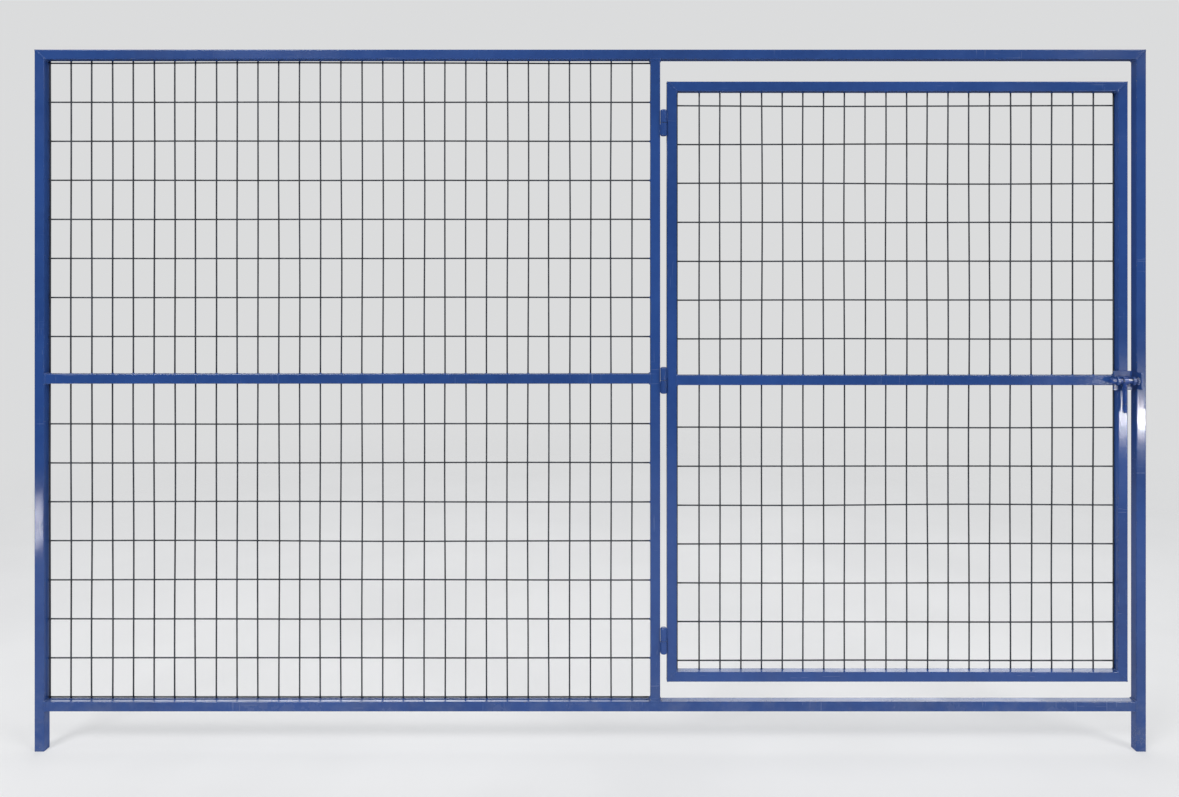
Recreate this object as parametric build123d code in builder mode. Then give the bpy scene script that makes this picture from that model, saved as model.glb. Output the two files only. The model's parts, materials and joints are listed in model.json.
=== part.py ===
"""Temporary fence panel with a pedestrian gate, used as a crowd control barrier.

A frame of welded square steel tube holds a bay of welded wire mesh on the left and a gate on the right.
The gate hangs on three barrel hinges, opens to the front, and is held shut by a slide bolt.
Units are millimetres. +X runs along the panel from the left leg, +Z is up and -Y is the front.
The origin is the centre of the left leg's open end, where the stand's stub goes in.
"""

import os

from build123d import *

os.makedirs("parts", exist_ok=True)

# ---- driving dimensions -------------------------------------------------------------------------

panel_width = 2896.0
panel_height = 1829.0

# square tube, used for every post, rail and stile
tube_side = 25.4
tube_wall = 1.6
tube_corner_radius = 2.2

# frame
leg_length = 104.0
divider_x = 1604.9
bay_rail_z = 970.6

# gate
hinge_gap = 17.8
latch_gap = 22.2
gate_gap_below = 52.0
gate_gap_above = 58.0
gate_rail_z = 967.0

# welded wire mesh
wire_diameter = 4.0
weld_sink = 0.4
mesh_y = 7.5
bay_wire_pitch = 54.55
bay_wire_count = 29
bay_mesh_gap = 2.7
bay_row_pitch = 102.6
bay_mesh_rows = 8
bay_upper_row = 1080.0
bay_lower_row = 132.4
gate_wire_pitch = 54.45
gate_wire_count = 20
gate_mesh_gap = 58.4
gate_row_pitch = 102.2
gate_mesh_rows = 7
gate_upper_row = 1073.4
gate_lower_row = 228.0

# barrel hinges
hinge_inset = 108.0
knuckle_radius = 8.6
knuckle_length = 34.0
knuckle_nose_radius = 4.0
hinge_pin_radius = 4.5
hinge_pin_clearance = 0.05
hinge_pin_seat = 22.0
hinge_pin_reach = 27.0
hinge_pin_chamfer = 1.0
washer_radius = 7.2
washer_thickness = 1.2
washer_bore_clearance = 0.3
weld_pad_depth = 7.0
weld_pad_margin = 4.0

# slide bolt
bolt_radius = 7.0
bolt_stand_off = 14.0
bolt_clearance = 0.4
bolt_draw = 10.0
bolt_throw = 12.0
bolt_tip_gap = 1.0
bolt_tail = 14.0
bolt_tip_chamfer = 2.0
bolt_neck_radius = 5.0
latch_plate_height = 50.0
latch_plate_thickness = 3.0
latch_plate_corner = 3.0
latch_plate_overhang = 8.0
guide_radius = 11.0
guide_width = 6.0
guide_foot_height = 18.0
handle_eye_radius = 10.0
handle_eye_width = 12.0
handle_rod_radius = 5.5
handle_length = 84.0
handle_end_play = 0.5
handle_clearance = 0.3

# keeper plate on the right post
keeper_thickness = 4.0
keeper_height = 44.0
keeper_hole_radius = 10.0
keeper_front_margin = 4.0
keeper_back_y = -1.0
keeper_corner = 5.0

# ---- dimensions worked out from them ------------------------------------------------------------

half_tube = tube_side / 2
tube_bore = tube_side - 2 * tube_wall
tube_bore_radius = tube_corner_radius - tube_wall
front_y = -half_tube

right_post_x = panel_width - tube_side
top_rail_z = panel_height - half_tube
bottom_rail_z = leg_length + half_tube
bottom_rail_top = leg_length + tube_side
top_rail_underside = panel_height - tube_side
divider_left = divider_x - half_tube
divider_right = divider_x + half_tube
right_post_left = right_post_x - half_tube

gate_left = divider_right + hinge_gap
gate_right = right_post_left - latch_gap
gate_bottom = bottom_rail_top + gate_gap_below
gate_top = top_rail_underside - gate_gap_above
hinge_stile_x = gate_left + half_tube
latch_stile_x = gate_right - half_tube
gate_inner_left = gate_left + tube_side
gate_inner_right = gate_right - tube_side
hinge_x = divider_right + hinge_gap / 2
hinge_y = front_y

wire_radius = wire_diameter / 2
upright_wire_y = mesh_y - (wire_diameter - weld_sink) / 2
cross_wire_y = mesh_y + (wire_diameter - weld_sink) / 2

bolt_y = front_y - bolt_stand_off
bolt_z = gate_rail_z
keeper_x = right_post_left - keeper_thickness
bolt_tip_x = keeper_x - bolt_tip_gap
latch_plate_right = gate_right + latch_plate_overhang
outer_guide_x = latch_plate_right - guide_width
handle_eye_x = outer_guide_x - handle_end_play - bolt_throw - handle_eye_width
inner_guide_x = handle_eye_x - bolt_draw - handle_end_play - guide_width
bolt_rear_x = inner_guide_x - bolt_tail


# ---- helpers ------------------------------------------------------------------------------------


def write(piece, name):
    """Label a finished piece and write it to its own file."""
    piece.part.label = name
    export_step(piece.part, f"parts/{name}.step")


def tube_section():
    """Add the square tube's section to the open sketch."""
    RectangleRounded(tube_side, tube_side, tube_corner_radius)
    RectangleRounded(tube_bore, tube_bore, tube_bore_radius, mode=Mode.SUBTRACT)


def mitre(corner_x, corner_z, inward_x, outward_z):
    """The 45 degree plane through a frame's outer corner. Its normal points to the rail's side."""
    return Plane(origin=(corner_x, 0, corner_z), z_dir=(inward_x, 0, outward_z))


# ---- outer frame --------------------------------------------------------------------------------

top_left_mitre = mitre(-half_tube, panel_height, 1, 1)
top_right_mitre = mitre(right_post_x + half_tube, panel_height, -1, 1)

# both end posts run down past the bottom rail as legs, open at the foot for the stands' stubs
with BuildPart() as left_post:
    with BuildSketch(Plane.XY):
        tube_section()
    extrude(amount=panel_height)
    split(bisect_by=top_left_mitre, keep=Keep.BOTTOM)
write(left_post, "left_post")

with BuildPart() as right_post:
    with BuildSketch(Plane((right_post_x, 0, 0))):
        tube_section()
    extrude(amount=panel_height)
    split(bisect_by=top_right_mitre, keep=Keep.BOTTOM)
write(right_post, "right_post")

with BuildPart() as top_rail:
    with BuildSketch(Plane.YZ.offset(-half_tube)):
        with Locations((0, top_rail_z)):
            tube_section()
    extrude(amount=panel_width)
    split(bisect_by=top_left_mitre, keep=Keep.TOP)
    split(bisect_by=top_right_mitre, keep=Keep.TOP)
write(top_rail, "top_rail")

with BuildPart() as bottom_rail:
    with BuildSketch(Plane.YZ.offset(half_tube)):
        with Locations((0, bottom_rail_z)):
            tube_section()
    extrude(amount=right_post_left - half_tube)
write(bottom_rail, "bottom_rail")

with BuildPart() as divider_post:
    with BuildSketch(Plane((divider_x, 0, bottom_rail_top))):
        tube_section()
    extrude(amount=top_rail_underside - bottom_rail_top)
write(divider_post, "divider_post")

with BuildPart() as bay_rail:
    with BuildSketch(Plane.YZ.offset(half_tube)):
        with Locations((0, bay_rail_z)):
            tube_section()
    extrude(amount=divider_left - half_tube)
write(bay_rail, "bay_rail")

# ---- gate frame ---------------------------------------------------------------------------------

gate_height = gate_top - gate_bottom
gate_width = gate_right - gate_left
gate_top_left_mitre = mitre(gate_left, gate_top, 1, 1)
gate_top_right_mitre = mitre(gate_right, gate_top, -1, 1)
gate_bottom_left_mitre = mitre(gate_left, gate_bottom, 1, -1)
gate_bottom_right_mitre = mitre(gate_right, gate_bottom, -1, -1)

with BuildPart() as gate_hinge_stile:
    with BuildSketch(Plane((hinge_stile_x, 0, gate_bottom))):
        tube_section()
    extrude(amount=gate_height)
    split(bisect_by=gate_top_left_mitre, keep=Keep.BOTTOM)
    split(bisect_by=gate_bottom_left_mitre, keep=Keep.BOTTOM)
write(gate_hinge_stile, "gate_hinge_stile")

with BuildPart() as gate_latch_stile:
    with BuildSketch(Plane((latch_stile_x, 0, gate_bottom))):
        tube_section()
    extrude(amount=gate_height)
    split(bisect_by=gate_top_right_mitre, keep=Keep.BOTTOM)
    split(bisect_by=gate_bottom_right_mitre, keep=Keep.BOTTOM)
write(gate_latch_stile, "gate_latch_stile")

with BuildPart() as gate_top_rail:
    with BuildSketch(Plane.YZ.offset(gate_left)):
        with Locations((0, gate_top - half_tube)):
            tube_section()
    extrude(amount=gate_width)
    split(bisect_by=gate_top_left_mitre, keep=Keep.TOP)
    split(bisect_by=gate_top_right_mitre, keep=Keep.TOP)
write(gate_top_rail, "gate_top_rail")

with BuildPart() as gate_bottom_rail:
    with BuildSketch(Plane.YZ.offset(gate_left)):
        with Locations((0, gate_bottom + half_tube)):
            tube_section()
    extrude(amount=gate_width)
    split(bisect_by=gate_bottom_left_mitre, keep=Keep.TOP)
    split(bisect_by=gate_bottom_right_mitre, keep=Keep.TOP)
write(gate_bottom_rail, "gate_bottom_rail")

with BuildPart() as gate_mid_rail:
    with BuildSketch(Plane.YZ.offset(gate_inner_left)):
        with Locations((0, gate_rail_z)):
            tube_section()
    extrude(amount=gate_inner_right - gate_inner_left)
write(gate_mid_rail, "gate_mid_rail")


# ---- welded wire mesh ---------------------------------------------------------------------------


def write_upright_wires(name, places, low_z, high_z):
    """The upright wires of one mesh sheet, which end on the rails below and above them."""
    with BuildPart() as wires:
        with BuildSketch(Plane.XY.offset(low_z)):
            with Locations(*[(x, upright_wire_y) for x in places]):
                Circle(wire_radius)
        extrude(amount=high_z - low_z)
    write(wires, name)


def write_cross_wires(name, heights, left_x, right_x):
    """The cross wires of one mesh sheet, welded to the back of its upright wires."""
    with BuildPart() as wires:
        with BuildSketch(Plane.YZ.offset(left_x)):
            with Locations(*[(cross_wire_y, z) for z in heights]):
                Circle(wire_radius)
        extrude(amount=right_x - left_x)
    write(wires, name)


def spaced(first, pitch, count):
    """Places from first on, one pitch apart."""
    return [first + pitch * i for i in range(count)]


# the ends of a sheet's wires are welded to the tubes, and the gate has one more upright along each stile
bay_uprights = spaced(half_tube + bay_mesh_gap + wire_radius, bay_wire_pitch, bay_wire_count)
gate_uprights = spaced(gate_inner_left + gate_mesh_gap + wire_radius, gate_wire_pitch, gate_wire_count)
gate_uprights.insert(0, gate_inner_left + wire_radius)
gate_uprights.append(gate_inner_right - wire_radius)

bay_rail_top = bay_rail_z + half_tube
bay_rail_underside = bay_rail_z - half_tube
gate_rail_top = gate_rail_z + half_tube
gate_rail_underside = gate_rail_z - half_tube

bay_upper_rows = spaced(bay_upper_row, bay_row_pitch, bay_mesh_rows)
bay_lower_rows = spaced(bay_lower_row, bay_row_pitch, bay_mesh_rows)
gate_upper_rows = spaced(gate_upper_row, gate_row_pitch, gate_mesh_rows)
gate_lower_rows = spaced(gate_lower_row, gate_row_pitch, gate_mesh_rows)

write_upright_wires("bay_upper_upright_wires", bay_uprights, bay_rail_top, top_rail_underside)
write_upright_wires("bay_lower_upright_wires", bay_uprights, bottom_rail_top, bay_rail_underside)
write_upright_wires("gate_upper_upright_wires", gate_uprights, gate_rail_top, gate_top - tube_side)
write_upright_wires("gate_lower_upright_wires", gate_uprights, gate_bottom + tube_side, gate_rail_underside)

write_cross_wires("bay_upper_cross_wires", bay_upper_rows, half_tube, divider_left)
write_cross_wires("bay_lower_cross_wires", bay_lower_rows, half_tube, divider_left)
write_cross_wires("gate_upper_cross_wires", gate_upper_rows, gate_inner_left, gate_inner_right)
write_cross_wires("gate_lower_cross_wires", gate_lower_rows, gate_inner_left, gate_inner_right)


# ---- barrel hinges ------------------------------------------------------------------------------


def weld_pad_section(side):
    """Add the section of a knuckle's weld pad: side is -1 towards the post and 1 towards the gate."""
    pad_root = knuckle_radius / 2
    pad_edge = hinge_gap / 2
    with Locations((side * (pad_root + pad_edge) / 2, weld_pad_depth / 2)):
        Rectangle(pad_edge - pad_root, weld_pad_depth)


def write_hinge(name, centre_z):
    """A barrel hinge: a post knuckle with its pin, a washer, and a blind gate knuckle over the pin."""
    seat_z = centre_z - washer_thickness / 2
    shoulder_z = centre_z + washer_thickness / 2

    with BuildPart() as post_knuckle:
        with BuildSketch(Plane((hinge_x, hinge_y, seat_z - knuckle_length))):
            Circle(knuckle_radius)
        extrude(amount=knuckle_length)
        nose = post_knuckle.edges().filter_by(GeomType.CIRCLE).sort_by(Axis.Z)[0]
        fillet(nose, radius=knuckle_nose_radius)
        with BuildSketch(Plane((hinge_x, hinge_y, seat_z - knuckle_length + weld_pad_margin))):
            weld_pad_section(-1)
        extrude(amount=knuckle_length - 2 * weld_pad_margin)
        with BuildSketch(Plane((hinge_x, hinge_y, seat_z))):
            Circle(hinge_pin_radius)
        extrude(amount=-hinge_pin_seat, mode=Mode.SUBTRACT)
    write(post_knuckle, f"{name}_hinge_post_knuckle")

    with BuildPart() as pin:
        with BuildSketch(Plane((hinge_x, hinge_y, seat_z - hinge_pin_seat))):
            Circle(hinge_pin_radius)
        extrude(amount=hinge_pin_seat + washer_thickness + hinge_pin_reach)
        tip = pin.edges().filter_by(GeomType.CIRCLE).sort_by(Axis.Z)[-1]
        chamfer(tip, length=hinge_pin_chamfer)
    write(pin, f"{name}_hinge_pin")

    with BuildPart() as washer:
        with BuildSketch(Plane((hinge_x, hinge_y, seat_z))):
            Circle(washer_radius)
            Circle(hinge_pin_radius + washer_bore_clearance, mode=Mode.SUBTRACT)
        extrude(amount=washer_thickness)
    write(washer, f"{name}_hinge_washer")

    with BuildPart() as gate_knuckle:
        with BuildSketch(Plane((hinge_x, hinge_y, shoulder_z))):
            Circle(knuckle_radius)
        extrude(amount=knuckle_length)
        nose = gate_knuckle.edges().filter_by(GeomType.CIRCLE).sort_by(Axis.Z)[-1]
        fillet(nose, radius=knuckle_nose_radius)
        with BuildSketch(Plane((hinge_x, hinge_y, shoulder_z + weld_pad_margin))):
            weld_pad_section(1)
        extrude(amount=knuckle_length - 2 * weld_pad_margin)
        with BuildSketch(Plane((hinge_x, hinge_y, shoulder_z))):
            Circle(hinge_pin_radius + hinge_pin_clearance)
        extrude(amount=hinge_pin_reach + hinge_pin_chamfer, mode=Mode.SUBTRACT)
    write(gate_knuckle, f"{name}_hinge_gate_knuckle")


write_hinge("top", gate_top - hinge_inset)
write_hinge("middle", gate_rail_z)
write_hinge("bottom", gate_bottom + hinge_inset)

# ---- slide bolt ---------------------------------------------------------------------------------

# back plate, welded across the end of the gate's middle rail and its latch stile; its outer end
# stands past the stile, over part of the gap
with BuildPart() as latch_plate:
    with BuildSketch(Plane.XZ.offset(half_tube)):
        with Locations(((inner_guide_x + latch_plate_right) / 2, bolt_z)):
            RectangleRounded(latch_plate_right - inner_guide_x, latch_plate_height, latch_plate_corner)
    extrude(amount=latch_plate_thickness)
write(latch_plate, "latch_plate")


def write_bolt_guide(name, start_x):
    """A lug on the back plate with a hole that the bolt slides in."""
    foot_depth = bolt_stand_off - latch_plate_thickness
    with BuildPart() as guide:
        with BuildSketch(Plane.YZ.offset(start_x)):
            with Locations((bolt_y, bolt_z)):
                Circle(guide_radius)
            with Locations((bolt_y + foot_depth / 2, bolt_z)):
                Rectangle(foot_depth, guide_foot_height)
            with Locations((bolt_y, bolt_z)):
                Circle(bolt_radius + bolt_clearance, mode=Mode.SUBTRACT)
        extrude(amount=guide_width)
    write(guide, name)


write_bolt_guide("inner_bolt_guide", inner_guide_x)
write_bolt_guide("outer_bolt_guide", outer_guide_x)

# round bolt with a turned neck that carries the handle's eye
with BuildPart() as latch_bolt:
    with BuildSketch(Plane.YZ.offset(bolt_rear_x)):
        with Locations((bolt_y, bolt_z)):
            Circle(bolt_radius)
    extrude(amount=bolt_tip_x - bolt_rear_x)
    ends = latch_bolt.edges().filter_by(GeomType.CIRCLE)
    chamfer(ends, length=bolt_tip_chamfer)
    with BuildSketch(Plane.YZ.offset(handle_eye_x - handle_clearance)):
        with Locations((bolt_y, bolt_z)):
            Circle(bolt_radius)
            Circle(bolt_neck_radius, mode=Mode.SUBTRACT)
    extrude(amount=handle_eye_width + 2 * handle_clearance, mode=Mode.SUBTRACT)
write(latch_bolt, "latch_bolt")

# drop handle: an eye round the bolt's neck and a rod with a rounded end that hangs from it
handle_x = handle_eye_x + handle_eye_width / 2
with BuildPart() as bolt_handle:
    with BuildSketch(Plane.YZ.offset(handle_eye_x)):
        with Locations((bolt_y, bolt_z)):
            Circle(handle_eye_radius)
    extrude(amount=handle_eye_width)
    with BuildSketch(Plane((handle_x, bolt_y, bolt_z))):
        Circle(handle_rod_radius)
    extrude(amount=handle_rod_radius - handle_length)
    with Locations((handle_x, bolt_y, bolt_z - handle_length + handle_rod_radius)):
        Sphere(handle_rod_radius)
    with BuildSketch(Plane.YZ.offset(handle_eye_x)):
        with Locations((bolt_y, bolt_z)):
            Circle(bolt_neck_radius + handle_clearance)
    extrude(amount=handle_eye_width, mode=Mode.SUBTRACT)
write(bolt_handle, "bolt_handle")

# keeper plate on the right post's inner face, standing forward of it, with a loose hole for the bolt
keeper_front_y = bolt_y - keeper_hole_radius - keeper_front_margin
with BuildPart() as keeper_plate:
    with BuildSketch(Plane.YZ.offset(keeper_x)):
        with Locations(((keeper_front_y + keeper_back_y) / 2, bolt_z)):
            RectangleRounded(keeper_back_y - keeper_front_y, keeper_height, keeper_corner)
        with Locations((bolt_y, bolt_z)):
            Circle(keeper_hole_radius, mode=Mode.SUBTRACT)
    extrude(amount=keeper_thickness)
write(keeper_plate, "keeper_plate")
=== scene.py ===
"""Looks of the temporary fence panel with its gate: bent mesh wires, weld beads, paint and metal.

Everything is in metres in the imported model's frame: +X along the panel, +Z up, -Y the front.
"""

import json
import math
import random

import bpy
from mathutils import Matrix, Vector


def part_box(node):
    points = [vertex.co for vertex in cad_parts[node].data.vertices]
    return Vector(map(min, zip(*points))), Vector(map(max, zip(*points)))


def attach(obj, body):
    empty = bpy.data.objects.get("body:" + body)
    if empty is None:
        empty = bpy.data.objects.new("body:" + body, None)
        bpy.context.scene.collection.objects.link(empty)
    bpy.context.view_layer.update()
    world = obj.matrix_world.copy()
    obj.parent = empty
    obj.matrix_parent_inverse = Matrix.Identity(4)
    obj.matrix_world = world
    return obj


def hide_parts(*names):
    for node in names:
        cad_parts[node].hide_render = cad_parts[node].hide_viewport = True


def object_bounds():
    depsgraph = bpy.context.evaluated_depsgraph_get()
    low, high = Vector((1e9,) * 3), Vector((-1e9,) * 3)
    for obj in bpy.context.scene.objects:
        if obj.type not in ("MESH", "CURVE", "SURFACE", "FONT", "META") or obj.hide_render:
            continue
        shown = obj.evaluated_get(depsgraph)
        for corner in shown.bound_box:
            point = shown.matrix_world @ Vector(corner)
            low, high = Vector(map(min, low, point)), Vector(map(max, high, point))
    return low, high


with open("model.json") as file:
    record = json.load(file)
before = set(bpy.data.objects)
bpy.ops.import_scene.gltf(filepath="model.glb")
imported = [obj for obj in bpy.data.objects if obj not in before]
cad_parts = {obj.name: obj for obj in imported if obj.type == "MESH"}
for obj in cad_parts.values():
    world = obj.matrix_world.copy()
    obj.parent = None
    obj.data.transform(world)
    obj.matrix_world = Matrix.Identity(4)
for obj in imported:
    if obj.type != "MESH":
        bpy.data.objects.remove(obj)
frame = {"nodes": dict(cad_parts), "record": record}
cad_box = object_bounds()
random.seed(26)

MM = 0.001
X = Vector((1, 0, 0))
Y = Vector((0, 1, 0))
Z = Vector((0, 0, 1))

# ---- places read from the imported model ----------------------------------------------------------


def low(node):
    """Lowest corner of a CAD node."""
    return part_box(node)[0]


def high(node):
    """Highest corner of a CAD node."""
    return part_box(node)[1]


def middle(node):
    """Middle of a CAD node's box."""
    return (low(node) + high(node)) / 2


HALF_TUBE = (high("bay_rail").z - low("bay_rail").z) / 2
TUBE_CORNER = 2.2 * MM
WIRE_RADIUS = (high("bay_upper_cross_wires").y - low("bay_upper_cross_wires").y) / 2
FRONT_Y = -HALF_TUBE
POST_FACE = high("left_post").x
FAR_POST_FACE = low("right_post").x
DIVIDER_LEFT = low("divider_post").x
DIVIDER_X = middle("divider_post").x
GATE_LEFT = low("gate_hinge_stile").x
GATE_RIGHT = high("gate_latch_stile").x
GATE_INNER_LEFT = low("gate_mid_rail").x
GATE_INNER_RIGHT = high("gate_mid_rail").x
GATE_BOTTOM = low("gate_hinge_stile").z
GATE_TOP = high("gate_hinge_stile").z
TOP_RAIL_Z = middle("top_rail").z
BOTTOM_RAIL_Z = middle("bottom_rail").z
BAY_RAIL_Z = middle("bay_rail").z
GATE_RAIL_Z = middle("gate_mid_rail").z

# ---- mesh code ----------------------------------------------------------------------------------

BEAD_SIDES = 8
RIPPLE_PITCH = 2.2 * MM
LOOP_RIPPLE_PITCH = 2.4 * MM


class Shape:
    """Vertices and faces of one piece as it is built up."""

    def __init__(self):
        self.verts = []
        self.faces = []

    def rings(self, rings, closed=False):
        """Skin a run of rings of points. An open run gets a cap at each end."""
        base = len(self.verts)
        sides = len(rings[0])
        for ring in rings:
            self.verts.extend(ring)
        runs = len(rings) if closed else len(rings) - 1
        for i in range(runs):
            a = base + i * sides
            b = base + ((i + 1) % len(rings)) * sides
            for k in range(sides):
                m = (k + 1) % sides
                self.faces.append((a + k, a + m, b + m, b + k))
        if not closed:
            self.faces.append(tuple(base + k for k in reversed(range(sides))))
            last = base + (len(rings) - 1) * sides
            self.faces.append(tuple(last + k for k in range(sides)))

    def piece(self, name, body, slot, node=None):
        """Make the Blender object, and say what it rides on and what it stands for."""
        mesh = bpy.data.meshes.new(name)
        mesh.from_pydata([tuple(v) for v in self.verts], [], self.faces)
        mesh.update()
        mesh.shade_smooth()
        made = bpy.data.objects.new(name, mesh)
        bpy.context.scene.collection.objects.link(made)
        mesh.materials.append(MATERIALS[slot])
        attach(made, body)
        if node:
            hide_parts(node)


def section(centre, across, outward, half_across, half_outward, sides):
    """An ellipse of points round a centre, in the plane of two directions."""
    points = []
    for k in range(sides):
        turn = 2 * math.pi * k / sides
        points.append(
            centre
            + across * (half_across * math.cos(turn))
            + outward * (half_outward * math.sin(turn))
        )
    return points


def ripple(distance, pitch):
    """How full a weld bead is along its run: rounded crests with a sharp valley between them."""
    return 0.86 + 0.22 * abs(math.sin(math.pi * distance / pitch))


def straight_bead(shape, start, end, outward, half_width, height):
    """A weld bead from start to end. It swells from nothing at each end."""
    run = end - start
    length = run.length
    across = run.normalized().cross(outward).normalized()
    steps = max(6, round(length / (RIPPLE_PITCH / 4)))
    shift = random.uniform(0, RIPPLE_PITCH)
    taper = 1.6 * half_width
    rings = []
    for i in range(steps + 1):
        t = i / steps
        swell = min(1.0, math.sqrt(max(1e-4, min(t, 1 - t) * length / taper)))
        full = ripple(t * length + shift, RIPPLE_PITCH) * swell
        centre = start + run * t + across * (random.uniform(-0.06, 0.06) * half_width)
        rings.append(
            section(centre, across, outward, half_width * full, height * full, BEAD_SIDES)
        )
    shape.rings(rings)


def loop_bead(shape, centre, side_u, side_v, half_u, half_v, heights, half_width, mitred=False):
    """A weld bead round a tube joint. heights are its rise on the +u, +v, -u and -v sides.

    A mitred joint's bead narrows towards +u, where the two tubes run out to a corner.
    """
    corner_steps = 5
    tip_width = 0.7 * MM
    flat_u = half_u - TUBE_CORNER
    flat_v = half_v - TUBE_CORNER
    faces = (
        (side_u, half_u, flat_u, side_v, flat_v),
        (side_v, half_v, flat_v, -side_u, flat_u),
        (-side_u, half_u, flat_u, -side_v, flat_v),
        (-side_v, half_v, flat_v, side_u, flat_u),
    )
    path = []
    for face, (out, half_out, flat_out, ahead, flat_ahead) in enumerate(faces):
        height = heights[face]
        next_height = heights[(face + 1) % len(faces)]
        start = centre + out * half_out - ahead * flat_ahead
        end = centre + out * half_out + ahead * flat_ahead
        steps = max(2, round((end - start).length / (LOOP_RIPPLE_PITCH / 4)))
        for i in range(steps):
            path.append((start.lerp(end, i / steps), out, height))
        pivot = centre + out * flat_out + ahead * flat_ahead
        for i in range(corner_steps):
            t = i / corner_steps
            angle = t * math.pi / 2
            round_out = (out * math.cos(angle) + ahead * math.sin(angle)).normalized()
            rise = height + (next_height - height) * t
            path.append((pivot + round_out * TUBE_CORNER, round_out, rise))

    across = side_u.cross(side_v).normalized()
    rings = []
    travelled = random.uniform(0, LOOP_RIPPLE_PITCH)
    for i, (point, outward, height) in enumerate(path):
        if i:
            travelled += (point - path[i - 1][0]).length
        full = ripple(travelled, LOOP_RIPPLE_PITCH)
        width = half_width
        if mitred:
            to_corner = half_u - (point - centre).dot(side_u)
            width = min(half_width, max(tip_width, to_corner - tip_width))
        lean = across * (random.uniform(-0.05, 0.05) * width)
        rings.append(
            section(point + lean, across, outward, width * full, height * full, BEAD_SIDES)
        )
    shape.rings(rings, closed=True)


def dome(shape, centre, outward, radius, height, sides=8):
    """A small blob of weld metal on a surface."""
    spare = Z if abs(outward.z) < 0.9 else X
    u = outward.cross(spare).normalized()
    v = outward.cross(u).normalized()
    rings = []
    for lift, size in ((-0.5, 0.8), (0.0, 1.0), (0.5, 0.86), (0.85, 0.5), (1.0, 0.14)):
        level = centre + outward * (lift * height)
        rings.append(section(level, u, v, radius * size, radius * size, sides))
    shape.rings(rings)


# ---- materials ----------------------------------------------------------------------------------

SCUFFED_BLUE = (0.12, 0.18, 0.36)
RUBBED_BLUE = (0.07, 0.13, 0.36)
CHIP_DARK = (0.055, 0.050, 0.048)
CHIP_LIGHT = (0.17, 0.165, 0.16)
DUST_ON_PAINT = (0.26, 0.29, 0.34)
DUST_ON_WIRE = (0.30, 0.31, 0.32)
DULL_ZINC = (0.17, 0.175, 0.185)
GREASE_STAIN = (0.16, 0.145, 0.12)
POLISHED_EDGE = (0.80, 0.81, 0.83)
BARE_DARK = (0.16, 0.17, 0.19)
BARE_LIGHT = (0.34, 0.35, 0.37)


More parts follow.
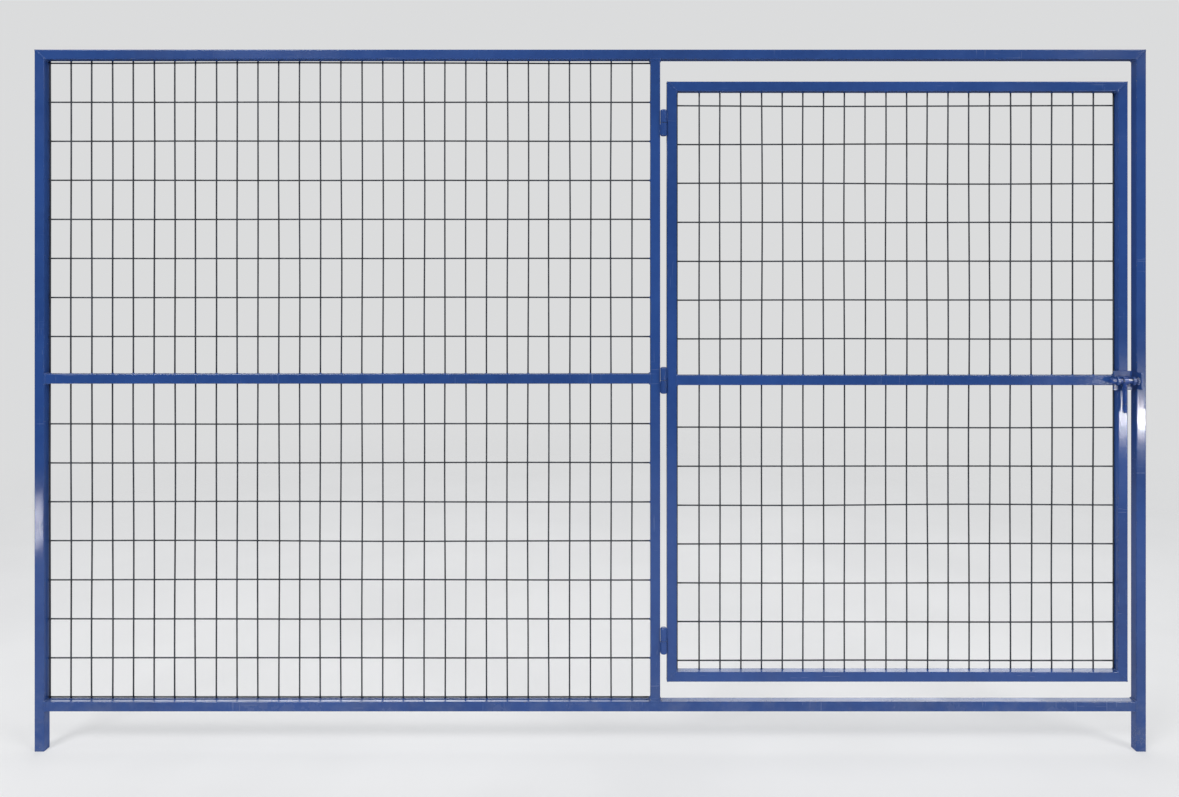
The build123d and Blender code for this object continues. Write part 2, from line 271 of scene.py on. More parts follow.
class Look:
    """A node material round one Principled shader."""

    def __init__(self, name, **constants):
        self.material = bpy.data.materials.new(name)
        self.material.use_nodes = True
        self.tree = self.material.node_tree
        self.shader = self.tree.nodes["Principled BSDF"]
        for socket, value in constants.items():
            self.shader.inputs[socket.replace("_", " ")].default_value = value
        self.place = self.node("ShaderNodeTexCoord").outputs["Object"]

    def node(self, kind, **settings):
        """Add a node. Settings are its own properties."""
        made = self.tree.nodes.new(kind)
        for key, value in settings.items():
            setattr(made, key, value)
        return made

    def link(self, source, target):
        """Join an output to an input."""
        self.tree.links.new(source, target)

    def noise(self, scale, detail, roughness, stretch=(1, 1, 1), shift=0.0):
        """Noise from 0 to 1 over the object, in waves per metre."""
        mapping = self.node("ShaderNodeMapping")
        mapping.inputs["Scale"].default_value = stretch
        mapping.inputs["Location"].default_value = (shift, shift * 0.7, shift * 1.3)
        texture = self.node("ShaderNodeTexNoise")
        texture.inputs["Scale"].default_value = scale
        texture.inputs["Detail"].default_value = detail
        texture.inputs["Roughness"].default_value = roughness
        self.link(self.place, mapping.inputs["Vector"])
        self.link(mapping.outputs["Vector"], texture.inputs["Vector"])
        return texture.outputs["Fac"]

    def span(self, value, start, end, low_value=0.0, high_value=1.0):
        """Stretch a value's span start..end to low_value..high_value."""
        ranger = self.node("ShaderNodeMapRange", interpolation_type="SMOOTHSTEP")
        self.link(value, ranger.inputs["Value"])
        ranger.inputs["From Min"].default_value = start
        ranger.inputs["From Max"].default_value = end
        ranger.inputs["To Min"].default_value = low_value
        ranger.inputs["To Max"].default_value = high_value
        return ranger.outputs["Result"]

    def blotches(self, scale, detail, roughness, span, to=(0.0, 1.0), **noise):
        """Noise with a span of its values stretched to another."""
        return self.span(self.noise(scale, detail, roughness, **noise), *span, *to)

    def calc(self, operation, first, second):
        """Arithmetic on two values, each a socket or a number."""
        worker = self.node("ShaderNodeMath", operation=operation)
        for slot_index, value in enumerate((first, second)):
            if isinstance(value, (int, float)):
                worker.inputs[slot_index].default_value = value
            else:
                self.link(value, worker.inputs[slot_index])
        return worker.outputs["Value"]

    def times(self, first, second):
        """Two values multiplied."""
        return self.calc("MULTIPLY", first, second)

    def mix(self, amount, first, second):
        """Mix two colours, each a socket or an RGB tuple."""
        mixer = self.node("ShaderNodeMix", data_type="RGBA")
        self.link(amount, mixer.inputs[0])
        for slot_index, value in ((6, first), (7, second)):
            if isinstance(value, tuple):
                mixer.inputs[slot_index].default_value = (*value, 1)
            else:
                self.link(value, mixer.inputs[slot_index])
        return mixer.outputs[2]

    def edges(self, radius):
        """1 along sharp and rounded edges within radius, 0 on flats."""
        bevel = self.node("ShaderNodeBevel", samples=4)
        bevel.inputs["Radius"].default_value = radius
        geometry = self.node("ShaderNodeNewGeometry")
        dot = self.node("ShaderNodeVectorMath", operation="DOT_PRODUCT")
        self.link(bevel.outputs["Normal"], dot.inputs[0])
        self.link(geometry.outputs["Normal"], dot.inputs[1])
        return self.span(dot.outputs["Value"], 0.995, 0.86)

    def own_normal(self):
        """The surface's normal in the piece's own axes, as three sockets."""
        split = self.node("ShaderNodeSeparateXYZ")
        self.link(self.node("ShaderNodeTexCoord").outputs["Normal"], split.inputs[0])
        return split.outputs

    def corners(self):
        """1 on the rounded corners of square tube and plate, 0 on the flats."""
        most = 0.0
        for socket in self.own_normal():
            most = self.calc("MAXIMUM", self.calc("ABSOLUTE", socket, 0.0), most)
        return self.span(most, 0.985, 0.87)

    def facing_up(self):
        """1 on faces that look up, 0 on the rest."""
        return self.span(self.own_normal()["Z"], 0.55, 0.95)

    def height(self):
        """Height above the floor in metres, in the rest pose."""
        split = self.node("ShaderNodeSeparateXYZ")
        self.link(self.place, split.inputs[0])
        return split.outputs["Z"]

    def bump(self, *layers):
        """Stack bumps, each (height socket, strength, distance in metres)."""
        normal = None
        for value, strength, distance in layers:
            bump = self.node("ShaderNodeBump")
            bump.inputs["Strength"].default_value = strength
            bump.inputs["Distance"].default_value = distance
            self.link(value, bump.inputs["Height"])
            if normal:
                self.link(normal, bump.inputs["Normal"])
            normal = bump.outputs["Normal"]
        self.link(normal, self.shader.inputs["Normal"])
        self.link(normal, self.shader.inputs["Coat Normal"])

    def finish(self, color, roughness):
        """Set the colour and the roughness."""
        self.link(color, self.shader.inputs["Base Color"])
        self.link(roughness, self.shader.inputs["Roughness"])
        return self.material


def tint(color, red, green, blue):
    """A colour with each of its three parts scaled."""
    return (color[0] * red, color[1] * green, color[2] * blue)


def shade(color, factor):
    """A colour made lighter or darker."""
    return tint(color, factor, factor, factor)


def powder_coat(name, color, shift, wear, peel=0.18, square=True):
    """Glossy powder coat: orange peel, uneven depth, scuffs, dust, rubbed and chipped edges.

    shift moves the noise, so that no two coats match, and wear is 1 for usual wear. square is
    for square tube and plate; a round part's edges are found by looking round each point.
    """
    look = Look(name, IOR=1.46, Coat_Weight=0.30, Coat_Roughness=0.06, Coat_IOR=1.5)
    broad = look.blotches(2.3, 4, 0.55, (0.3, 0.7), shift=shift)
    mottle = look.blotches(38, 4, 0.6, (0.35, 0.75), shift=shift)
    deep = look.mix(broad, tint(color, 1.00, 0.96, 0.85), tint(color, 1.36, 1.27, 1.12))
    painted = look.mix(look.times(mottle, 0.22), deep, tint(color, 1.8, 1.7, 1.25))

    scratch = look.blotches(210, 2, 0.5, (0.66, 0.70), stretch=(1, 1, 0.05), shift=shift + 3)
    across = look.blotches(190, 2, 0.5, (0.67, 0.71), stretch=(0.05, 1, 1), shift=shift + 4)
    scuffed_places = look.blotches(6, 2, 0.5, (0.50, 0.62), shift=shift + 5)
    scuffs = look.times(look.calc("MAXIMUM", scratch, across), scuffed_places)
    scuffed = look.mix(look.times(scuffs, 0.26 * wear), painted, SCUFFED_BLUE)

    edge = look.corners() if square else look.edges(2.4 * MM)
    rubbed_places = look.blotches(26, 4, 0.65, (0.50, 0.66), shift=shift + 7)
    rubs = look.times(edge, rubbed_places)
    rubbed = look.mix(look.times(rubs, 0.28 * wear), scuffed, RUBBED_BLUE)

    foot = look.span(look.height(), 0.09, 0.0)
    reach = look.calc("MINIMUM", look.calc("ADD", edge, foot), 1.0)
    specks = look.blotches(330, 3, 0.6, (0.595, 0.62), shift=shift + 9)
    ease = 0.03 * wear
    beaten_places = look.blotches(13, 3, 0.6, (0.52 - ease, 0.60 - ease), shift=shift + 11)
    chips = look.times(specks, look.times(reach, beaten_places))
    chipped = look.mix(chips, rubbed, look.mix(mottle, CHIP_DARK, CHIP_LIGHT))

    grime = look.blotches(14, 4, 0.65, (0.38, 0.72), shift=shift + 13)
    splashed = look.span(look.height(), 0.26, 0.0, 0.0, 0.22)
    settled = look.times(look.facing_up(), 0.24)
    dust = look.times(grime, look.calc("MAXIMUM", splashed, settled))
    dusty = look.mix(dust, chipped, DUST_ON_PAINT)

    cloud = look.blotches(7, 3, 0.5, (0.3, 0.7), (0.14, 0.25), shift=shift + 15)
    dulled = look.calc("ADD", cloud, look.times(dust, 0.5))
    matt = look.calc("MAXIMUM", chips, look.times(scuffs, 0.5))
    look.bump(
        (look.noise(620, 2, 0.5, shift=shift), peel, 0.12 * MM),
        (look.noise(34, 2, 0.4, shift=shift + 2), 0.25, 0.35 * MM),
        (look.calc("SUBTRACT", 1.0, chips), 0.6, 0.10 * MM),
    )
    return look.finish(dusty, look.calc("ADD", dulled, look.times(matt, 0.25)))


def wire_coat(name, color):
    """Thin dark coat on drawn wire: patchy tone, fine bumps, rubbed spots with a little zinc showing
    through, dust on the tops.
    """
    look = Look(name, IOR=1.45)
    patch = look.blotches(11, 4, 0.6, (0.32, 0.68))
    base = look.mix(patch, shade(color, 0.72), shade(color, 1.45))
    rubs = look.blotches(170, 3, 0.6, (0.60, 0.72), shift=4)
    rubbed = look.mix(look.times(rubs, 0.30), base, DULL_ZINC)
    grime = look.blotches(30, 3, 0.6, (0.35, 0.7), (0.05, 0.30), shift=8)
    dusty = look.mix(look.times(look.facing_up(), grime), rubbed, DUST_ON_WIRE)
    rough = look.blotches(60, 3, 0.5, (0.3, 0.7), (0.34, 0.58), shift=2)
    look.bump(
        (look.noise(900, 2, 0.6), 0.25, 0.08 * MM),
        (look.noise(140, 3, 0.5, shift=6), 0.30, 0.15 * MM),
    )
    return look.finish(dusty, rough)


def plated_steel(name, color, shift, grain, tarnish):
    """Bright plated or turned steel: turning lines, cloudy plating, grease stains in patches."""
    look = Look(name, Metallic=1.0, IOR=2.5)
    cloud = look.blotches(55, 4, 0.6, (0.3, 0.7), shift=shift)
    base = look.mix(cloud, shade(color, 0.80), shade(color, 1.12))
    stain = look.blotches(130, 4, 0.65, (0.56, 0.74), shift=shift + 3)
    stained = look.mix(look.times(stain, tarnish), base, GREASE_STAIN)
    bright = look.mix(look.times(look.edges(1.2 * MM), 0.5), stained, POLISHED_EDGE)
    lines = look.noise(900, 2, 0.6, stretch=grain, shift=shift + 6)
    rough = look.calc("ADD", look.span(lines, 0.3, 0.7, 0.20, 0.34), look.times(stain, 0.25))
    look.bump(
        (lines, 0.35, 0.06 * MM),
        (look.noise(80, 3, 0.5, shift=shift + 9), 0.20, 0.12 * MM),
    )
    return look.finish(bright, rough)


def worn_coat(name, color, shift, streaks, wear):
    """Coat on a part that gets handled: it is rubbed through to steel in streaks and on edges."""
    look = Look(name, IOR=1.5, Coat_Weight=0.2, Coat_Roughness=0.10, Coat_IOR=1.5)
    broad = look.blotches(30, 3, 0.5, (0.3, 0.7), shift=shift)
    painted = look.mix(broad, shade(color, 0.80), shade(color, 1.15))
    streaked = look.blotches(420, 3, 0.6, (0.54, 0.60), stretch=streaks, shift=shift + 2)
    patchy = look.blotches(60, 3, 0.6, (0.62 - wear, 0.72 - wear), shift=shift + 4)
    spots = look.blotches(120, 3, 0.6, (0.46, 0.56), shift=shift + 5)
    on_edge = look.times(look.edges(1.4 * MM), spots)
    bare = look.calc("MAXIMUM", look.times(streaked, patchy), on_edge)
    cloudy = look.blotches(400, 3, 0.6, (0.3, 0.7), shift=shift + 6)
    steel = look.mix(cloudy, BARE_DARK, BARE_LIGHT)
    look.link(bare, look.shader.inputs["Metallic"])
    sheen = look.blotches(25, 3, 0.5, (0.3, 0.7), (0.16, 0.28), shift=shift + 8)
    look.bump(
        (look.noise(620, 2, 0.5, shift=shift), 0.22, 0.10 * MM),
        (look.calc("SUBTRACT", 1.0, bare), 0.5, 0.05 * MM),
    )
    rough = look.calc("ADD", sheen, look.times(bare, 0.16))
    return look.finish(look.mix(bare, painted, steel), rough)


ALONG_BOLT = (0.06, 1, 1)
ALONG_HANDLE = (1, 1, 0.06)
COATS = {
    "frame_tube_paint": (powder_coat, "frame_blue_coat", 0.0, 1.0),
    "gate_tube_paint": (powder_coat, "gate_blue_coat", 21.0, 1.1),
    "hinge_knuckle": (powder_coat, "hinge_blue_coat", 43.0, 1.0, 0.30, False),
    "latch_paint": (powder_coat, "latch_blue_coat", 64.0, 1.6, 0.25),
    "mesh_wire": (wire_coat, "dark_wire_coat"),
    "hinge_pin": (plated_steel, "turned_pin_steel", 5.0, (1, 1, 6), 0.5),
    "hinge_washer": (plated_steel, "greasy_washer_steel", 9.0, (1, 1, 3), 0.6),
    "bolt_paint": (worn_coat, "worn_bolt_coat", 14.0, ALONG_BOLT, 0.14),
}
COLORS = {m["slot"]: tuple(m["base_color"][:3]) for m in frame["record"]["materials"]}
MATERIALS = {
    slot: maker(name, COLORS[slot], *details) for slot, (maker, name, *details) in COATS.items()
}
HANDLE_COAT = worn_coat("worn_handle_coat", COLORS["bolt_paint"], 31.0, ALONG_HANDLE, 0.08)

for subpart in frame["record"]["subparts"]:
    slots = frame["nodes"][subpart["node"]].data.materials
    slots.clear()
    is_handle = subpart["node"] == "bolt_handle"
    slots.append(HANDLE_COAT if is_handle else MATERIALS[subpart["material_slot"]])

# ---- mesh wires: gently bent, as welded mesh is -------------------------------------------------

WIRE_STEP = 22 * MM
WIRE_SIDES = 10
SPOT_RADIUS = 2.5 * MM
SPOT_RISE = 0.9 * MM
SPOT_SET_BACK = 0.2 * MM
TACK_RADIUS = 3.4 * MM
TACK_RISE = 2.0 * MM
TACK_OFFSET = 0.4 * MM
BEND_AT_ENDS = 0.35


def wave(seed):
    """A smooth wandering value over a distance, within about -1..1: two slow waves, one faster."""
    source = random.Random(seed)
    any_phase = (0, 6.3)
    parts = [
        (source.uniform(1.6, 4.2), source.uniform(*any_phase), source.uniform(0.5, 1.0))
        for _ in range(2)
    ]
    parts.append((source.uniform(6.0, 10.0), source.uniform(*any_phase), 0.28))
    total = sum(size for _, _, size in parts)
    return lambda d: sum(size * math.sin(rate * d + phase) for rate, phase, size in parts) / total


def arch(at, start, end):
    """0 at start and end, rising to 1 halfway."""
    return math.sin(math.pi * (at - start) / (end - start))


def wire(shape, points):
    """One round wire through points that run mostly along one axis."""
    across = (points[-1] - points[0]).normalized().cross(Y).normalized()
    shape.rings([section(p, across, Y, WIRE_RADIUS, WIRE_RADIUS, WIRE_SIDES) for p in points])


def places(start, end, count):
    """Evenly spaced places from start to end."""
    return [start + (end - start) * i / (count - 1) for i in range(count)]


def along(start, end):
    """The places of a wire's rings."""
    return places(start, end, max(2, round((end - start) / WIRE_STEP)) + 1)


def swerve(seed, most, room, start, end):
    """How far one wire stands off its straight line, as a function of the place along it.

    The bend is most at its largest, stays within the room beside the wire, and eases off near
    the wire's welded ends.
    """
    wander = wave(seed)
    size = min(most * random.uniform(0.6, 1.0), room / 2)
    swell = 1 - BEND_AT_ENDS
    return lambda at: size * wander(at) * (BEND_AT_ENDS + swell * arch(at, start, end))


def sheet(prefix, body, uprights, first_gap, pitch, rows, seed, bends):
    """One welded mesh sheet: bent wires in place of its two CAD nodes, spot welds and end tacks.

    first_gap is from the first upright to the second, and pitch between the rest. bends are the
    uprights' bend along x, the whole sheet's along y and the cross wires' along z.
    """
    bend_x, bend_y, bend_z = bends
    upright_node = f"{prefix}_upright_wires"
    cross_node = f"{prefix}_cross_wires"
    up_low, up_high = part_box(upright_node)
    row_low, row_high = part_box(cross_node)
    first_x = up_low.x + WIRE_RADIUS
    inner_xs = [first_x + first_gap + pitch * i for i in range(uprights - 2)]
    xs = [first_x, *inner_xs, up_high.x - WIRE_RADIUS]
    zs = places(row_low.z + WIRE_RADIUS, row_high.z - WIRE_RADIUS, rows)
    upright_y = (up_low.y + up_high.y) / 2
    cross_y = (row_low.y + row_high.y) / 2
    left, right = row_low.x, row_high.x
    bottom, top = up_low.z, up_high.z
    belly_x = wave(seed + 1)
    belly_z = wave(seed + 2)

    def belly(x, z):
        """How far the sheet stands off its plane: nothing along its welded edges."""
        rim = arch(x, left, right) * arch(z, bottom, top)
        return bend_y * min(1.0, 2.2 * max(0.0, rim)) * (belly_x(x) + belly_z(z)) / 2

    leans = []
    shape = Shape()
    for i, x in enumerate(xs):
        room = min(x - left, right - x) - WIRE_RADIUS
        lean = swerve(seed + 10 + i, bend_x, room, bottom, top)
        leans.append(lean)
        wire(shape, [Vector((x + lean(z), upright_y + belly(x, z), z)) for z in along(bottom, top)])
    shape.piece(f"{prefix}_uprights", body, "mesh_wire", upright_node)

    sags = []
    shape = Shape()
    for j, z in enumerate(zs):
        room = min(z - bottom, top - z) - WIRE_RADIUS
        sag = swerve(seed + 60 + j, bend_z, room, left, right)
        sags.append(sag)
        wire(shape, [Vector((x, cross_y + belly(x, z), z + sag(x))) for x in along(left, right)])
    shape.piece(f"{prefix}_cross", body, "mesh_wire", cross_node)

    shape = Shape()
    for x, lean in zip(xs, leans):
        for z, sag in zip(zs, sags):
            joint_y = (upright_y + cross_y) / 2 + belly(x, z)
            centre = Vector((x + lean(z), joint_y + SPOT_SET_BACK, z + sag(x)))
            dome(shape, centre, -Y, SPOT_RADIUS * random.uniform(0.95, 1.2), SPOT_RISE, sides=6)
    shape.piece(f"{prefix}_spot_welds", body, "mesh_wire")

    shape = Shape()
    ends = []
    for x, lean in zip(xs, leans):
        for z, inward in ((bottom, Z), (top, -Z)):
            ends.append((Vector((x + lean(z), upright_y + TACK_OFFSET, z)), inward))
    for z, sag in zip(zs, sags):
        for x, inward in ((left, X), (right, -X)):
            ends.append((Vector((x, cross_y - TACK_OFFSET, z + sag(x))), inward))
    for centre, inward in ends:
        dome(shape, centre, inward, TACK_RADIUS * random.uniform(0.85, 1.15), TACK_RISE)
    shape.piece(f"{prefix}_end_tacks", body, f"{body}_tube_paint")


BAY_PITCH = 54.55 * MM
GATE_PITCH = 54.45 * MM
GATE_FIRST_GAP = 58.4 * MM
for prefix, seed, bends in (
    ("bay_upper", 100, (2.3 * MM, 1.2 * MM, 1.7 * MM)),
    ("bay_lower", 300, (2.6 * MM, 1.4 * MM, 2.2 * MM)),
):
    sheet(prefix, "frame", 29, BAY_PITCH, BAY_PITCH, 8, seed, bends)
for prefix, seed, bends in (
    ("gate_upper", 500, (2.6 * MM, 1.2 * MM, 2.4 * MM)),
    ("gate_lower", 700, (2.8 * MM, 1.3 * MM, 2.4 * MM)),
):
    sheet(prefix, "gate", 22, GATE_FIRST_GAP, GATE_PITCH, 7, seed, bends)

# ---- weld beads at the tube joints --------------------------------------------------------------

FLUSH_RISE = 0.55 * MM
GROUND_RISE = 0.14 * MM
FILLET_RISE = 2.9 * MM
BEAD_HALF_WIDTH = 3.2 * MM
BEAD_STANDOFF = 0.6 * MM
DIAGONAL_HALF = HALF_TUBE * math.sqrt(2)


def tube_end(shape, x, z, into):
    """The bead round a tube's end on another's face. into points from that face along the tube."""
    centre = Vector((x, 0, z)) + into * BEAD_STANDOFF
    sideways = Z if into.x else X
    rises = (FILLET_RISE, FLUSH_RISE, FILLET_RISE, FLUSH_RISE)
    loop_bead(shape, centre, sideways, Y, HALF_TUBE, HALF_TUBE, rises, BEAD_HALF_WIDTH)


def corner_joint(shape, x, z, out_x, out_z):
    """The bead round a mitred corner, over the corner's middle. out_x and out_z point outwards."""
    centre = Vector((x, 0, z))
    diagonal = (X * out_x + Z * out_z).normalized()
    rises = (GROUND_RISE, GROUND_RISE, FILLET_RISE, GROUND_RISE)
    loop_bead(
        shape, centre, diagonal, Y, DIAGONAL_HALF, HALF_TUBE, rises, BEAD_HALF_WIDTH, mitred=True
    )


frame_beads = Shape()
corner_joint(frame_beads, middle("left_post").x, TOP_RAIL_Z, -1, 1)
corner_joint(frame_beads, middle("right_post").x, TOP_RAIL_Z, 1, 1)
tube_end(frame_beads, POST_FACE, BOTTOM_RAIL_Z, X)
tube_end(frame_beads, FAR_POST_FACE, BOTTOM_RAIL_Z, -X)
tube_end(frame_beads, POST_FACE, BAY_RAIL_Z, X)
tube_end(frame_beads, DIVIDER_LEFT, BAY_RAIL_Z, -X)
tube_end(frame_beads, DIVIDER_X, low("divider_post").z, Z)
tube_end(frame_beads, DIVIDER_X, high("divider_post").z, -Z)
frame_beads.piece("frame_joint_beads", "frame", "frame_tube_paint")

gate_beads = Shape()
for corner_x, out_x in ((GATE_LEFT + HALF_TUBE, -1), (GATE_RIGHT - HALF_TUBE, 1)):
    corner_joint(gate_beads, corner_x, GATE_TOP - HALF_TUBE, out_x, 1)
    corner_joint(gate_beads, corner_x, GATE_BOTTOM + HALF_TUBE, out_x, -1)
tube_end(gate_beads, GATE_INNER_LEFT, GATE_RAIL_Z, X)
tube_end(gate_beads, GATE_INNER_RIGHT, GATE_RAIL_Z, -X)
gate_beads.piece("gate_joint_beads", "gate", "gate_tube_paint")

# ---- weld beads on the hinges -------------------------------------------------------------------

KNUCKLE_END_GAP = 4.5 * MM
# each bead's way from the hinge's axis: sideways, then back
FRONT_SEAM = (9.1 * MM, 0.7 * MM)
BACK_SEAM = (8.7 * MM, 7.2 * MM)

post_hinge_beads = Shape()
gate_hinge_beads = Shape()
for hinge in ("top", "middle", "bottom"):
    axis = middle(f"{hinge}_hinge_pin")
    for knuckle, shape, side in (
        ("post_knuckle", post_hinge_beads, -1),
        ("gate_knuckle", gate_hinge_beads, 1),
    ):
        foot = Z * (low(f"{hinge}_hinge_{knuckle}").z + KNUCKLE_END_GAP)
        head = Z * (high(f"{hinge}_hinge_{knuckle}").z - KNUCKLE_END_GAP)
        front = Vector((axis.x + side * FRONT_SEAM[0], axis.y + FRONT_SEAM[1], 0))
        back = Vector((axis.x + side * BACK_SEAM[0], axis.y + BACK_SEAM[1], 0))
        straight_bead(shape, front + foot, front + head, -Y, 1.3 * MM, 1.2 * MM)
        straight_bead(shape, back + foot, back + head, Y, 1.8 * MM, 1.8 * MM)
post_hinge_beads.piece("post_hinge_beads", "frame", "hinge_knuckle")
gate_hinge_beads.piece("gate_hinge_beads", "gate", "hinge_knuckle")

# ---- weld beads on the latch --------------------------------------------------------------------

PLATE_BEAD_HALF_WIDTH = 2.2 * MM
LATCH_BEAD_RISE = 2.0 * MM
GUIDE_SEAM = 9 * MM

plate_low, plate_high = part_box("latch_plate")
latch_beads = Shape()
plate_seams = [
    (Vector((GATE_INNER_RIGHT + 2 * MM, FRONT_Y, z)), Vector((GATE_RIGHT - 3 * MM, FRONT_Y, z)))
    for z in (plate_low.z, plate_high.z)
]
plate_seams.append(
    (
        Vector((plate_low.x, FRONT_Y, GATE_RAIL_Z - HALF_TUBE + 2.5 * MM)),
        Vector((plate_low.x, FRONT_Y, GATE_RAIL_Z + HALF_TUBE - 2.5 * MM)),
    )
)
for start, end in plate_seams:
    straight_bead(latch_beads, start, end, -Y, PLATE_BEAD_HALF_WIDTH, LATCH_BEAD_RISE)
for guide in ("inner_bolt_guide", "outer_bolt_guide"):
    guide_low, guide_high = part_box(guide)
    for side in (-1, 1):
        seam_z = middle(guide).z + side * GUIDE_SEAM
        start = Vector((guide_low.x + 0.4 * MM, plate_low.y, seam_z))
        end = Vector((guide_high.x - 0.4 * MM, plate_low.y, seam_z))
        straight_bead(latch_beads, start, end, -Y, 1.6 * MM, 1.5 * MM)
behind_foot = Vector((GATE_RIGHT, FRONT_Y, plate_low.z + 4 * MM))
behind_head = Vector((GATE_RIGHT, FRONT_Y, plate_high.z - 4 * MM))
straight_bead(
    latch_beads, behind_foot, behind_head, (X + Y).normalized(), 2.4 * MM, LATCH_BEAD_RISE
)
latch_beads.piece("latch_beads", "gate", "latch_paint")

keeper_low, keeper_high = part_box("keeper_plate")
keeper_beads = Shape()
front_seam = (FAR_POST_FACE + 0.6 * MM, FRONT_Y - 0.1 * MM)
front_foot = Vector((*front_seam, keeper_low.z + 5 * MM))
front_head = Vector((*front_seam, keeper_high.z - 5 * MM))
straight_bead(
    keeper_beads, front_foot, front_head, (X - Y).normalized(), 2.3 * MM, LATCH_BEAD_RISE
)
rear_foot = Vector((FAR_POST_FACE, keeper_high.y, keeper_low.z + 6 * MM))
rear_head = Vector((FAR_POST_FACE, keeper_high.y, keeper_high.z - 6 * MM))
straight_bead(keeper_beads, rear_foot, rear_head, Y, 2.0 * MM, LATCH_BEAD_RISE)
keeper_beads.piece("keeper_beads", "frame", "latch_paint")

# ---- floor --------------------------------------------------------------------------------------

scene = bpy.context.scene
scene.view_settings.view_transform = "Standard"
scene.view_settings.look = "None"

PALE = (0.71, 0.715, 0.72)
FLOOR_GREY = (0.40, 0.40, 0.405)
FLOOR_LIGHTER = (0.44, 0.44, 0.445)
FLOOR_REACH = 30.0
panel_low, panel_high = cad_box
panel_mid = (panel_low + panel_high) / 2

floor_mesh = bpy.data.meshes.new("floor")
floor_mesh.from_pydata(
    [
        (panel_mid.x + FLOOR_REACH * x, FLOOR_REACH * y, 0)
        for x, y in ((-1, -1), (1, -1), (1, 1), (-1, 1))
    ],
    [],
    [(0, 1, 2, 3)],
)
floor = bpy.data.objects.new("floor", floor_mesh)
scene.collection.objects.link(floor)

# the floor fades into the backdrop, and glows a little so that the tubes are lit from below
floor_look = Look("pale_floor", Roughness=0.75, Specular_IOR_Level=0.2, Emission_Color=(*PALE, 1))
floor_inputs = floor_look.shader.inputs
clouded = floor_look.blotches(1.5, 3, 0.5, (0.3, 0.7))
floor_look.link(floor_look.mix(clouded, FLOOR_GREY, FLOOR_LIGHTER), floor_inputs["Base Color"])
distance = floor_look.node("ShaderNodeVectorMath", operation="DISTANCE")
distance.inputs[1].default_value = (panel_mid.x, 0, 0)
floor_look.link(floor_look.place, distance.inputs[0])
solid = floor_look.span(distance.outputs["Value"], 1.9, 5.5, 1.0, 0.0)
floor_look.link(solid, floor_inputs["Alpha"])
rays = floor_look.node("ShaderNodeLightPath").outputs
glow = floor_look.calc(
    "ADD",
    floor_look.times(rays["Is Camera Ray"], 0.56),
    floor_look.times(rays["Is Diffuse Ray"], 1.1),
)
floor_look.link(glow, floor_inputs["Emission Strength"])
floor_mesh.materials.append(floor_look.material)

# ---- surroundings -------------------------------------------------------------------------------

world = bpy.data.worlds.new("studio")
scene.world = world
world.use_nodes = True
sky = world.node_tree
sky.nodes.clear()
direction = sky.nodes.new("ShaderNodeSeparateXYZ")
sky.links.new(sky.nodes.new("ShaderNodeTexCoord").outputs["Generated"], direction.inputs[0])


def sky_span(axis, start, end, start_value, end_value):
    """A value that changes along one axis of the direction looked in."""
    ranger = sky.nodes.new("ShaderNodeMapRange")
    sky.links.new(direction.outputs[axis], ranger.inputs["Value"])
    ranger.inputs["From Min"].default_value = start
    ranger.inputs["From Max"].default_value = end
    ranger.inputs["To Min"].default_value = start_value
    ranger.inputs["To Max"].default_value = end_value
    return ranger.outputs["Result"]


def sky_product(first, second):
    """Two values multiplied."""
    worker = sky.nodes.new("ShaderNodeMath")
    worker.operation = "MULTIPLY"
    sky.links.new(first, worker.inputs[0])
    sky.links.new(second, worker.inputs[1])
    return worker.outputs["Value"]


def sky_color(color):
    """A background shader in one colour."""
    made = sky.nodes.new("ShaderNodeBackground")
    made.inputs["Color"].default_value = (*color, 1)
    return made


# the paint reflects little from in front and low down, and a bright band from up behind
band_rise = sky_span("Z", 0.20, 0.33, 0.05, 1.35)
band_fall = sky_span("Z", 0.44, 0.60, 1.0, 0.36)
front_to_back = sky_span("Y", -0.6, 0.6, 0.18, 1.0)
around = sky_color((0.96, 0.98, 1.0))
sky.links.new(
    sky_product(front_to_back, sky_product(band_rise, band_fall)), around.inputs["Strength"]
)
backdrop = sky_color(PALE)
choice = sky.nodes.new("ShaderNodeMixShader")
camera_ray = sky.nodes.new("ShaderNodeLightPath").outputs["Is Camera Ray"]
output = sky.nodes.new("ShaderNodeOutputWorld")
sky.links.new(camera_ray, choice.inputs[0])
sky.links.new(around.outputs[0], choice.inputs[1])
sky.links.new(backdrop.outputs[0], choice.inputs[2])
sky.links.new(choice.outputs[0], output.inputs["Surface"])

# ---- lamps and camera ---------------------------------------------------------------------------

WIDE = math.pi
NARROW = math.radians(42)


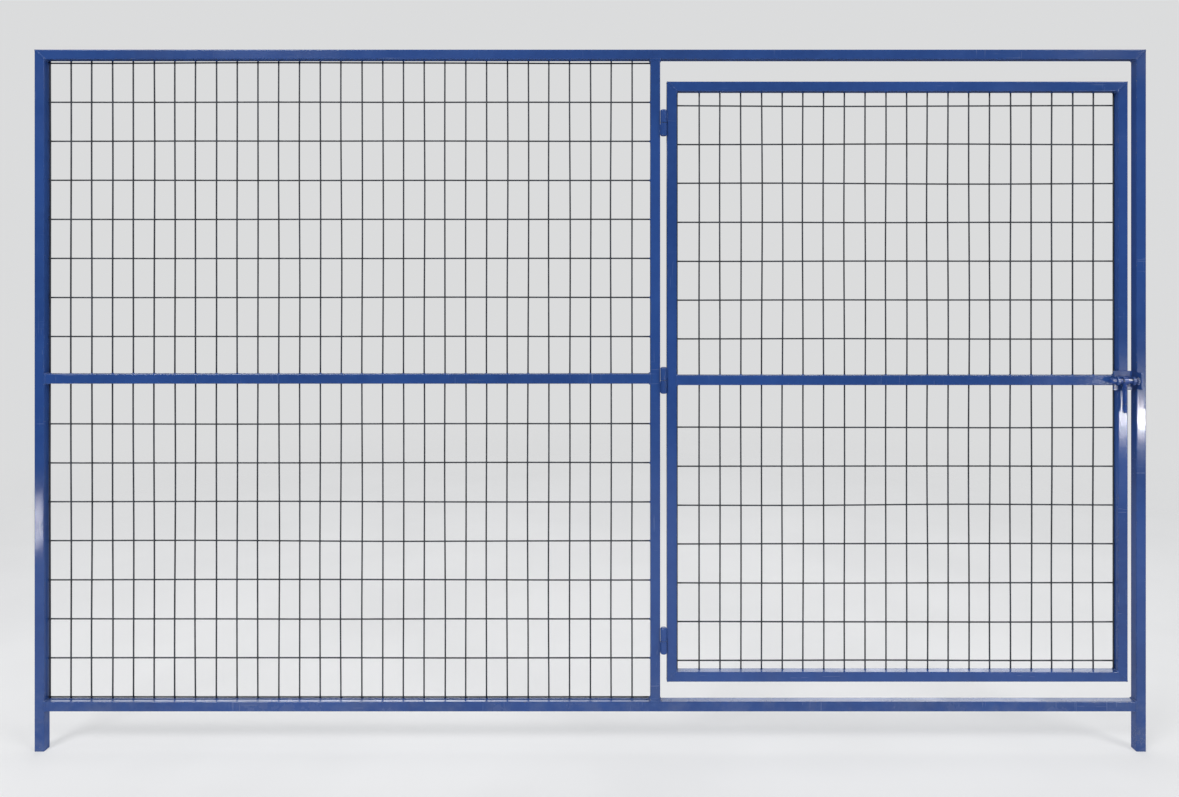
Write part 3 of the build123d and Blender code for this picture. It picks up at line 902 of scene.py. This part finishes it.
def softbox(name, place, target, width, height, power, spread=WIDE, only_gloss=False):
    """A lamp aimed at a target: a rectangle, or an ellipse where it shows only in the gloss."""
    lamp = bpy.data.lights.new(name, "AREA")
    lamp.shape = "ELLIPSE" if only_gloss else "RECTANGLE"
    lamp.size = width
    lamp.size_y = height
    lamp.energy = power
    lamp.spread = spread
    made = bpy.data.objects.new(name, lamp)
    scene.collection.objects.link(made)
    made.location = place
    made.rotation_mode = "QUATERNION"
    made.rotation_quaternion = (Vector(target) - Vector(place)).to_track_quat("-Z", "Y")
    made.visible_camera = False
    if only_gloss:
        made.visible_diffuse = False


def glint(name, place, target, width, height, power):
    """A small lamp that shows only as a bright spot in the gloss of a post."""
    softbox(name, place, target, width, height, power, only_gloss=True)


softbox("key_light", (-1.8, -4.2, 4.8), panel_mid, 2.4, 1.8, 215)
softbox("fill_light", (6.2, -3.6, 4.4), panel_mid, 2.4, 2.0, 170)
softbox("top_light", (panel_mid.x, 0.6, 5.0), (panel_mid.x, 0, 0), 5.0, 4.0, 60)
# beams from behind that light up the tops of the bottom rails
softbox("gate_back_light", (3.65, 3.83, 2.0), (2.3, 0, 0.2), 3.4, 0.5, 0.75, NARROW)
softbox("bay_back_light", (-0.3, 3.83, 2.0), (0.8, 0, 0.2), 4.4, 0.5, 1.5, NARROW)
glint("post_glint", (4.14, -2.072, 0.55), (2.87, 0, 0.873), 0.060, 0.11, 3.0)
glint("stile_glint", (4.008, -2.072, 0.585), (2.82, 0, 0.873), 0.012, 0.27, 1.3)
glint("left_glint", (-0.735, -1.152, 0.289), (0, 0, 0.602), 0.018, 0.20, 0.55)

# the camera looks level and square at the panel, and its shift frames the whole of it
camera = bpy.data.cameras.new("camera")
camera.sensor_width = 36.0
camera.lens = 26.967
camera.shift_x = -0.009
camera.shift_y = -0.1004
viewer = bpy.data.objects.new("camera", camera)
scene.collection.objects.link(viewer)
viewer.location = (1.461, -2.3127, 1.228)
viewer.rotation_euler = (math.pi / 2, 0, 0)
scene.camera = viewer
